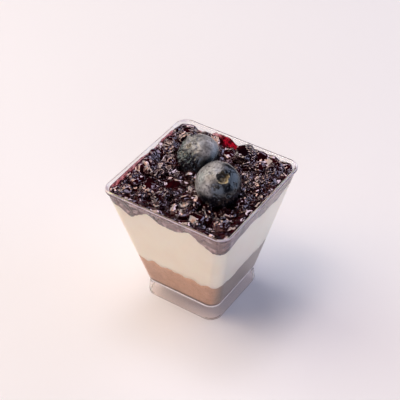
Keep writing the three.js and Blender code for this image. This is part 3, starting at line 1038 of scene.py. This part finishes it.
def build_cream(settings):
    """The cheesecake cream between the crumb and the compote."""
    rows = 12
    low = wall_line(lambda x, y: crumb_height(x, y) - 1.2, settings.reach)
    high = wall_line(lambda x, y: cream_height(x, y) + 0.9, settings.reach)
    low_z, high_z = (sum(z for _, _, z in line) / FOOD_POINTS for line in (low, high))
    rings = [shrunk(low, 0.35, low_z), shrunk(low, 0.75, low_z), shrunk(low, 0.94)]
    rings += [between(low, high, i / rows) for i in range(rows + 1)]
    rings += [shrunk(high, 0.94), shrunk(high, 0.75, high_z), shrunk(high, 0.35, high_z)]
    points, faces = skin((0, 0, low_z), rings, (0, 0, high_z))
    piece = make_piece("cream_layer", points, faces, set_cream(settings))
    settle(piece, "cheesecake_cream")


# The compote


def cooked_berries():
    """Every cooked berry as x, y, z, radius, and its number."""
    return [
        (x, y, jelly_height(x, y) + lift, radius, number)
        for number, (x, y, radius, lift) in enumerate(list(LARGE_COOKED) + small_cooked())
    ]


def meniscus(x, y, level, bodies):
    """How far the jelly is drawn up where it wets a berry."""
    rise = 0.0
    for body_x, body_y, body_z, radius in bodies:
        away = math.hypot(x - body_x, y - body_y)
        if away > radius + 2:
            continue
        cut = radius**2 - ((level - body_z) / COOKED_SQUASH) ** 2
        edge = math.sqrt(cut) if cut > 0 else 0.0
        rise = max(rise, JELLY_ON_BERRY * math.exp(-max(0.0, away - edge) / 0.7))
    return rise


def jelly_top(x, y, bodies):
    """The jelly's wet top, folded and creased, lower between the berries, calm in the hollow."""
    level = jelly_height(x, y)
    hollow = math.exp(-((x - HOLLOW[0]) ** 2 + (y - HOLLOW[1]) ** 2) / 30)
    folds = JELLY_FOLD_DEPTH * noise.fractal(Vector((x, y, 0)) / JELLY_FOLD_SIZE, 1.0, 2.1, 2)
    creases = JELLY_CREASE_DEPTH * ridges(Vector((x, y, 7)) / JELLY_CREASE_SIZE, 1.2)
    inside = 1 - smooth(22, 26, max(abs(x), abs(y)))
    rough = (folds + creases) * (1 - 0.8 * hollow)
    level += rough + meniscus(x, y, level, bodies) - JELLY_GAP * inside * (1 - hollow)
    level += JELLY_ON_WALL * smooth(26.3, 27.4, max(-y, x)) * (1 - smooth(12, 24, y))
    return soft_limit(level, compote_limit(x, y) - 0.4)


def rounded(x, y, half, corner):
    """Draws a point of a square grid in where the cup's corners are rounded."""
    inside = half - corner
    over_x = abs(x) - inside
    over_y = abs(y) - inside
    if over_x <= 0 or over_y <= 0:
        return x, y
    reach = max(over_x, over_y)
    pull = 1 + (reach / math.hypot(over_x, over_y) - 1) * (reach / corner)
    return (
        math.copysign(inside + over_x * pull, x),
        math.copysign(inside + over_y * pull, y),
    )


def stitch(upper, lower):
    """Faces between two rings of point numbers of equal length, the upper one first."""
    count = len(upper)
    return [
        (upper[i], lower[i], lower[(i + 1) % count], upper[(i + 1) % count]) for i in range(count)
    ]


def jelly_grid(cells):
    """The jelly's top as a grid of points with how calm each is, its faces and its edge loop."""
    bodies = [(x, y, z, radius) for x, y, z, radius, _ in cooked_berries()]
    for fresh in (FRONT_BERRY, BACK_BERRY):
        bodies.append((*fresh["middle"], fresh["radius"]))
    across = cells + 1
    half = wall_half(COMPOTE_TOP) - WALL + JELLY_REACH
    corner = BODY_CORNER - WALL + JELLY_REACH
    points, calm = [], []
    for row in range(across):
        for column in range(across):
            u = 2 * column / cells - 1
            v = 2 * row / cells - 1
            rim = max(abs(u), abs(v))
            x, y = rounded(u * half, v * half, half, corner)
            z = jelly_top(x, y, bodies)
            grown = 1 + (wall_half(z) - wall_half(COMPOTE_TOP)) / half * rim**6
            points.append((x * grown, y * grown, z))
            away = math.hypot(x - HOLLOW[0], y - HOLLOW[1])
            calm.append(1 - smooth(0.6 * HOLLOW[2], HOLLOW[2], away))
    faces = [
        (a, a + 1, a + across + 1, a + across)
        for row in range(cells)
        for a in range(row * across, row * across + cells)
    ]
    loop = list(range(cells))
    loop += [i * across + cells for i in range(cells)]
    loop += [across * across - 1 - i for i in range(cells)]
    loop += [(cells - i) * across for i in range(cells)]
    return points, calm, faces, loop


def build_jelly(settings):
    """The jelly that binds the compote: an uneven wet top and a film down the walls."""
    points, calm, faces, loop = jelly_grid(settings.cells)
    inner = WALL - JELLY_REACH
    bottom = CREAM_TOP - 0.2
    upper = loop
    for share in (0.02, 0.1, 0.2, 0.35, 0.5, 0.65, 0.8, 0.9, 1.0):
        ring = []
        for start in loop:
            x, y, z = points[start]
            seam = cream_height(x, y) + rough_edge(x, y, 3, 2.2, 0.5) + rough_edge(x, y, 5, 0.9, 0.25)
            level = z + (seam - z) * share
            pulled = (wall_half(level) - inner) / (wall_half(z) - inner)
            points.append((x * pulled, y * pulled, level))
            ring.append(len(points) - 1)
        faces += stitch(upper, ring)
        upper = ring
    for share, height in ((0.97, None), (0.75, bottom), (0.3, bottom)):
        first = len(points)
        points += shrunk([points[start] for start in upper], share, height)
        ring = list(range(first, len(points)))
        faces += stitch(upper, ring)
        upper = ring
    pole = len(points)
    points.append((0, 0, bottom))
    faces += [(upper[i], pole, upper[(i + 1) % len(upper)]) for i in range(len(upper))]
    below = len(points) - len(calm)
    piece = make_piece("compote_jelly", points, faces, wet_jelly(settings))
    # The jelly's sides take the film colours with their painted reflection
    paint(piece, "side_film_and_reflection", [0.0] * len(calm) + [1.0] * below)
    paint(piece, "calm", calm + [0.0] * below)
    settle(piece, "blueberry_compote")


def berry_heap_tree(material):
    """Geometry Nodes that set a wrinkled, folded berry on every given point."""
    inputs = [("Geometry", "NodeSocketGeometry", None), ("Rounds", "NodeSocketInt", 5)]
    sizes = {
        "Fold Depth": 0.0011, "Fold Size": 0.005, "Crease Depth": 0.0005, "Crease Size": 0.004,
    }
    inputs += number_sockets(**sizes)
    outputs = [("Geometry", "NodeSocketGeometry")]
    tree, given, result = new_group("berry_heap", "GeometryNodeTree", inputs, outputs)
    ball = add_node(
        tree, "GeometryNodeMeshIcoSphere", {"Radius": 1.0, "Subdivisions": given.outputs["Rounds"]}
    )
    size, turn = (
        add_node(
            tree, "GeometryNodeInputNamedAttribute", {"Name": name}, data_type="FLOAT_VECTOR"
        ).outputs[0]
        for name in ("size", "turn")
    )
    heap = add_node(
        tree, "GeometryNodeInstanceOnPoints",
        {
            "Points": given.outputs["Geometry"], "Instance": ball.outputs["Mesh"],
            "Rotation": turn, "Scale": size,
        },
    )
    shape = add_node(
        tree, "GeometryNodeRealizeInstances", {"Geometry": heap.outputs["Instances"]}
    ).outputs["Geometry"]
    for label, kind, detail, middle in (
        ("Fold", "FBM", 0.0, 0.5), ("Crease", "RIDGED_MULTIFRACTAL", 0.5, 1.1),
    ):
        offset = along_normal(tree, given, label, kind, detail, middle)
        shape = add_node(
            tree, "GeometryNodeSetPosition", {"Geometry": shape, "Offset": offset}
        ).outputs["Geometry"]
    shaded = add_node(tree, "GeometryNodeSetShadeSmooth", {"Geometry": shape})
    last = add_node(
        tree, "GeometryNodeSetMaterial",
        {"Geometry": shaded.outputs["Geometry"], "Material": material},
    )
    tree.links.new(last.outputs["Geometry"], result.inputs["Geometry"])
    return tree


def along_normal(tree, given, label, kind, detail, middle):
    """An offset along the surface's normal by noise of the group's named size and depth."""
    scale = calculated(tree, "DIVIDE", 1.0, given.outputs[label + " Size"])
    bumps = grain_node(tree, kind, {"Scale": scale, "Detail": detail})
    centred = calculated(tree, "SUBTRACT", bumps.outputs[0], middle)
    depth = calculated(tree, "MULTIPLY", centred, given.outputs[label + " Depth"])
    normal = add_node(tree, "GeometryNodeInputNormal")
    inputs = {0: normal.outputs[0], "Scale": depth}
    return add_node(tree, "ShaderNodeVectorMath", inputs, operation="SCALE").outputs[0]


def berry_seeds(name, group):
    """An object with a point for each cooked berry, which holds its size and its turn."""
    mesh = bpy.data.meshes.new(name)
    mesh.from_pydata([(x * MM, y * MM, z * MM) for x, y, z, _, _ in group], [], [])
    sizes = mesh.attributes.new("size", "FLOAT_VECTOR", "POINT")
    turns = mesh.attributes.new("turn", "FLOAT_VECTOR", "POINT")
    for i, (_, _, _, radius, number) in enumerate(group):
        flat = COOKED_SQUASH + COOKED_SQUASH_SPREAD * spread(number, 0.41)
        stretch = 1 + COOKED_STRETCH * spread(number, 0.73)
        lean_x, lean_y = (COOKED_LEAN * spread(number, step) for step in (0.57, 0.29))
        sizes.data[i].vector = Vector((radius * stretch, radius / stretch, radius * flat)) * MM
        turns.data[i].vector = (lean_x, lean_y, COOKED_TURN * number)
    return placed(bpy.data.objects.new(name, mesh))


def build_cooked(settings):
    """The cooked berries that break the jelly's surface, in three pieces."""
    tree = berry_heap_tree(cooked_skin(settings))
    berries = cooked_berries()
    large = len(LARGE_COOKED)
    groups = {
        "large_cooked_berries": berries[:large],
        "small_cooked_berries_front": [berry for berry in berries[large:] if berry[1] < 0],
        "small_cooked_berries_back": [berry for berry in berries[large:] if berry[1] >= 0],
    }
    for name, group in groups.items():
        seeds = berry_seeds(name + "_points", group)
        modifier = seeds.modifiers.new("berry_heap", "NODES")
        modifier.node_group = tree
        set_input(modifier, "Fold Depth", settings.fold_depth)
        set_input(modifier, "Crease Depth", settings.crease_depth)
        piece = applied(seeds, name)
        keep_in_cup(piece)
        settle(piece, "blueberry_compote")


def set_input(modifier, label, value):
    """Sets a Geometry Nodes input by the identifier of its socket."""
    for item in modifier.node_group.interface.items_tree:
        if item.item_type == "SOCKET" and item.in_out == "INPUT" and item.name == label:
            modifier[item.identifier] = value


def applied(source, name):
    """The source object's evaluated shape as a plain mesh object; the source is removed."""
    shown = source.evaluated_get(bpy.context.evaluated_depsgraph_get())
    mesh = bpy.data.meshes.new_from_object(shown)
    bpy.data.objects.remove(source)
    mesh.name = name
    return placed(bpy.data.objects.new(name, mesh))


def keep_in_cup(piece):
    """Presses the points of a piece back inside the cup's wall and under the rim."""
    into_wall = 0.12
    corner = BODY_CORNER - WALL + into_wall
    for vertex in piece.data.vertices:
        x, y, z = (value / MM for value in vertex.co)
        z = soft_limit(z, compote_limit(x, y))
        half = wall_half(z) - WALL + into_wall
        over_x = abs(x) - (half - corner)
        over_y = abs(y) - (half - corner)
        if over_x > 0 and over_y > 0 and math.hypot(over_x, over_y) > corner:
            pull = corner / math.hypot(over_x, over_y)
            x = math.copysign(half - corner + over_x * pull, x)
            y = math.copysign(half - corner + over_y * pull, y)
        x = max(-half, min(half, x))
        y = max(-half, min(half, y))
        vertex.co = (x * MM, y * MM, z * MM)
    piece.data.update()


def wall_film(turn):
    """Top, thickness and redness of the wall film at a turn round the cup."""
    for low, high in zip(WALL_FILM, WALL_FILM[1:]):
        if turn <= high[0]:
            share = smooth(low[0], high[0], turn)
            return [a + (b - a) * share for a, b in zip(low[1:], high[1:])]
    return WALL_FILM[-1][1:]


def on_wall(turn, depth, height):
    """A point at a depth off the cup's inner wall, towards its middle."""
    half = wall_half(height) - WALL - depth
    return (*square_point(half, BODY_CORNER - WALL - depth, turn), height)


def build_wall_film(settings):
    """The thin pink to red film that clings to the walls above the compote."""
    first_turn, last_turn = WALL_FILM[0][0], WALL_FILM[-1][0]
    end_red = 0.3
    rings, red = [], [end_red]
    for step in range(1, WALL_FILM_STEPS):
        turn = first_turn + (last_turn - first_turn) * step / WALL_FILM_STEPS
        top, thickness, redness = wall_film(turn)
        ends = math.sin(math.pi * step / WALL_FILM_STEPS) ** 0.25
        place = Vector((20 * turn, 0, 5))
        top = min(top + WALL_FILM_RAGGED * noise.fractal(place, 0.8, 2.1, 3), CUP_HEIGHT - 0.25)
        middle = 0.5 * (top + WALL_FILM_FOOT)
        tall = 0.5 * (top - WALL_FILM_FOOT) * ends
        thickness *= ends * (1 + 0.5 * noise.noise(place * 1.7))
        ring = []
        for i in range(WALL_FILM_POINTS):
            angle = 2 * math.pi * i / WALL_FILM_POINTS
            depth = thickness * math.cos(angle) if math.cos(angle) > 0 else 0.1 * math.cos(angle)
            rise = math.sin(angle)
            ring.append(on_wall(turn, depth - 0.02, middle + tall * rise))
            blotch = noise.noise(Vector((30 * turn, 2.2 * rise, 9)))
            red.append(min(1.0, max(0.0, redness * (1.05 - 0.4 * rise) + 0.3 * blotch)))
        rings.append(ring)
    red.append(end_red)
    first = on_wall(first_turn, 0.0, 54.0)
    last = on_wall(last_turn, 0.0, 54.4)
    points, faces = skin(first, rings, last)
    piece = make_piece("wall_film", points, faces, red_film(settings))
    paint(piece, "red", red)
    settle(piece, "blueberry_compote")


# The fresh blueberries


def berry_rings(berry, crowned):
    """Rings of a fresh berry round its own axis, from its base: radius and height between the
    crown's lobes, radius and height on a lobe, crown share and share of painted shade; and the
    height of its last pole."""
    radius = berry["radius"]
    squash = berry["squash"]
    opening = CROWN_RADIUS if crowned else SCAR_RADIUS
    shoulder = math.asin(1.15 * opening / radius)
    rings = []
    for step in range(1, BERRY_RINGS + 1):
        angle = math.pi - (math.pi - shoulder) * step / BERRY_RINGS
        out, height = radius * math.sin(angle), squash * radius * math.cos(angle)
        rings.append((out, height, out, height, 0, 0))
    lip = squash * math.sqrt(radius**2 - opening**2)
    inner = CROWN_SECTION
    if not crowned:
        inner = [(out, rise, out, rise, crown, pit_shade) for out, rise, crown, pit_shade in SCAR_SECTION]
    for gap_out, gap_rise, lobe_out, lobe_rise, crown, pit_shade in inner:
        rings.append((gap_out, lip + gap_rise, lobe_out, lip + lobe_rise, crown, pit_shade))
    return rings, lip - (CROWN_PIT if crowned else SCAR_PIT)


def crown_petal(angle, seed):
    """How far a turn round the berry is on a lobe of its ragged crown, from 0 to 1."""
    petal = abs(math.cos(0.5 * CROWN_LOBES * angle + CROWN_TURN)) ** 1.2
    ragged = noise.noise(Vector((3 * math.cos(angle), 3 * math.sin(angle), seed)))
    return min(1.0, petal * (0.9 + 0.5 * ragged))


def build_fresh(name, node, berry, crowned, material):
    """One fresh blueberry with its crown or its stem scar."""
    sections, pole = berry_rings(berry, crowned)
    seed = berry["radius"]
    turn = Vector((0, 0, 1)).rotation_difference(Vector(berry["axis"]).normalized())
    middle = Vector(berry["middle"])
    base = middle + turn @ Vector((0, 0, -berry["squash"] * berry["radius"]))
    end = turn @ Vector((0, 0, pole))
    crust_side, lit_side = Vector(berry["crust"]), Vector(berry["dry"])
    toward_light = Vector(berry["toward_light"]).normalized()
    angles = [2 * math.pi * i / BERRY_POINTS for i in range(BERRY_POINTS)]
    petals = [crown_petal(angle, seed) for angle in angles]
    rings, crown, pit_shade, wet = [], [0.0], [0.0], [1.0]
    for gap_out, gap_height, lobe_out, lobe_height, crown_share, pit_share in sections:
        ring = []
        skin_share = 1 - crown_share
        for angle, petal in zip(angles, petals):
            out = gap_out + (lobe_out - gap_out) * petal
            height = gap_height + (lobe_height - gap_height) * petal
            point = middle + turn @ Vector((out * math.cos(angle), out * math.sin(angle), height))
            facing = (point - middle).normalized()
            # Painted light and shade on the crown: tan on its dry side, where light falls into it,
            # dark beyond
            dry = smooth(-1.1, 0.9, (point - middle - end).dot(lit_side)) if crowned else 1.0
            aside = facing.dot(crust_side) + 0.35 * noise.noise(point / 2.5)
            crust = smooth(0.0, 0.35, aside) * skin_share
            dent = DENT_DEPTH * noise.noise(point / DENT_SIZE) * skin_share
            dent += crust * CRUST_DEPTH * ridges(point / CRUST_SIZE, 1.0)
            point += facing * dent
            ring.append(tuple(point))
            # Syrup and painted shade: the skin is marked wet where it faces away from the light
            lift = facing.dot(toward_light) + 0.4 * noise.noise(point / SYRUP_SHADE_SIZE)
            wet.append(max(1 - smooth(*berry["wet"], lift), 0.3 * crust))
            crown.append(crown_share * (0.15 + 0.85 * dry))
            # Painted shade in the crown's hollow and on its lobes away from the light
            shaded = max(pit_share * (1 - 0.6 * dry), 0.9 * crown_share * (1 - dry))
            pit_shade.append(shaded if crowned else pit_share)
        rings.append(ring)
    crown.append(0.6 if crowned else 0.5)
    pit_shade.append(0.4 if crowned else 1.0)
    wet.append(0.0)
    points, faces = skin(tuple(base), rings, tuple(middle + end))
    piece = make_piece(name, points, faces, material)
    for label, values in (("crown", crown), ("pit_shade", pit_shade), ("wet", wet)):
        paint(piece, label, values)
    settle(piece, node)


# The stage


def build_table(settings):
    """A plain pale table, larger than the view."""
    material, tree, shader = new_material("pale_table", Roughness=0.6)
    cloud = mottled(tree, Size=0.15, From=0.2, To=0.8, Shift=9.0)
    warm = tuple(value * 0.985 for value in settings.table)
    colour = blend_colours(tree, cloud, warm, settings.table)
    tree.links.new(colour, shader.inputs["Base Color"])
    corners = [(x * TABLE_HALF, y * TABLE_HALF, 0) for x, y in ((-1, -1), (1, -1), (1, 1), (-1, 1))]
    make_piece("table", corners, [(0, 1, 2, 3)], material)


def from_angles(azimuth, elevation):
    """The direction at an azimuth from +X and an elevation, in degrees."""
    flat = math.cos(math.radians(elevation))
    turn = math.radians(azimuth)
    return Vector((flat * math.cos(turn), flat * math.sin(turn), math.sin(math.radians(elevation))))


def build_lights(settings):
    """Soft lamps all round: warm on the left and overhead, cool in front, on the right and, small
    and weak, behind."""
    world = bpy.data.worlds.new("room")
    world.use_nodes = True
    room = world.node_tree.nodes["Background"]
    room.inputs["Color"].default_value = ROOM_COLOUR
    room.inputs["Strength"].default_value = settings.room
    bpy.context.scene.world = world
    for name, (azimuth, elevation, size, power, colour) in LAMPS.items():
        lamp = bpy.data.lights.new(name, "AREA")
        lamp.shape = "RECTANGLE"
        lamp.size, lamp.size_y = size
        lamp.energy = power * settings.lamps
        lamp.color = colour
        light = placed(bpy.data.objects.new(name, lamp))
        towards = from_angles(azimuth, elevation).normalized()
        light.location = towards * LAMP_DISTANCE + Vector((0, 0, LAMP_AIM * MM))
        light.rotation_euler = towards.to_track_quat("Z", "Y").to_euler()
        light.visible_camera = False


def build_camera():
    """The camera, as far off and at the same angle as in the photograph."""
    camera = bpy.data.cameras.new("camera")
    camera.lens = VIEW_LENS
    camera.sensor_width = 36.0
    camera.clip_start = 0.01
    view = placed(bpy.data.objects.new("camera", camera))
    back = from_angles(VIEW_AZIMUTH - 90, VIEW_ELEVATION)
    view.location = (Vector(VIEW_TARGET) + back * VIEW_DISTANCE) * MM
    view.rotation_euler = (
        math.pi / 2 - math.radians(VIEW_ELEVATION), 0, math.radians(VIEW_AZIMUTH)
    )
    bpy.context.scene.camera = view


# Operators


class DESSERT_OT_stage(bpy.types.Operator):
    """Build the table, the lights and the camera"""

    bl_idname = "dessert.stage"
    bl_label = "Table and Light"

    def execute(self, context):
        settings = context.scene.dessert_stage
        build_table(settings)
        build_lights(settings)
        build_camera()
        context.scene.view_settings.view_transform = "Standard"
        return {"FINISHED"}


class DESSERT_OT_crumb(bpy.types.Operator):
    """Build the crumb base"""

    bl_idname = "dessert.crumb"
    bl_label = "Crumb Base"

    def execute(self, context):
        build_crumb(context.scene.dessert_crumb)
        return {"FINISHED"}


class DESSERT_OT_cream(bpy.types.Operator):
    """Build the cheesecake cream"""

    bl_idname = "dessert.cream"
    bl_label = "Cheesecake Cream"

    def execute(self, context):
        build_cream(context.scene.dessert_cream)
        return {"FINISHED"}


class DESSERT_OT_compote(bpy.types.Operator):
    """Build the compote's jelly, cooked berries and wall film"""

    bl_idname = "dessert.compote"
    bl_label = "Blueberry Compote"

    def execute(self, context):
        settings = context.scene.dessert_compote
        build_jelly(settings)
        build_cooked(settings)
        build_wall_film(settings)
        return {"FINISHED"}


class DESSERT_OT_fresh(bpy.types.Operator):
    """Build the fresh blueberries"""

    bl_idname = "dessert.fresh"
    bl_label = "Fresh Blueberries"

    def execute(self, context):
        material = fresh_skin(context.scene.dessert_fresh)
        build_fresh("fresh_berry_front", "blueberry_front", FRONT_BERRY, True, material)
        build_fresh("fresh_berry_back", "blueberry_back", BACK_BERRY, False, material)
        return {"FINISHED"}


class DESSERT_OT_cup(bpy.types.Operator):
    """Build the clear cup"""

    bl_idname = "dessert.cup"
    bl_label = "Clear Cup"

    def execute(self, context):
        build_cup(context.scene.dessert_cup)
        return {"FINISHED"}


class DESSERT_PT_panel(bpy.types.Panel):
    """The buttons and settings in the sidebar"""

    bl_label = "Blueberry Cheesecake Cup"
    bl_idname = "DESSERT_PT_panel"
    bl_space_type = "VIEW_3D"
    bl_region_type = "UI"
    bl_category = "Dessert"

    def draw(self, context):
        for label, (_, operator) in STEPS.items():
            box = self.layout.box()
            box.operator(operator.bl_idname)
            settings = getattr(context.scene, label)
            for name in settings.bl_rna.properties.keys():
                if name not in ("rna_type", "name"):
                    box.prop(settings, name)


# Each step's settings and operator, by the name under which the scene holds the settings
STEPS = {
    "dessert_stage": (StageSettings, DESSERT_OT_stage),
    "dessert_crumb": (CrumbSettings, DESSERT_OT_crumb),
    "dessert_cream": (CreamSettings, DESSERT_OT_cream),
    "dessert_compote": (CompoteSettings, DESSERT_OT_compote),
    "dessert_fresh": (FreshSettings, DESSERT_OT_fresh),
    "dessert_cup": (CupSettings, DESSERT_OT_cup),
}


def register():
    """Registers every class, and the settings on the scene."""
    for label, (settings, operator) in STEPS.items():
        bpy.utils.register_class(settings)
        bpy.utils.register_class(operator)
        setattr(bpy.types.Scene, label, bpy.props.PointerProperty(type=settings))
    bpy.utils.register_class(DESSERT_PT_panel)


def unregister():
    """Takes them away again."""
    bpy.utils.unregister_class(DESSERT_PT_panel)
    for label, (settings, operator) in STEPS.items():
        delattr(bpy.types.Scene, label)
        bpy.utils.unregister_class(operator)
        bpy.utils.unregister_class(settings)


def main():
    """Builds the stage and every piece."""
    register()
    bpy.ops.dessert.stage()
    bpy.ops.dessert.crumb()
    bpy.ops.dessert.cream()
    bpy.ops.dessert.compote()
    bpy.ops.dessert.fresh()
    bpy.ops.dessert.cup()


if __name__ == "__main__":
    main()
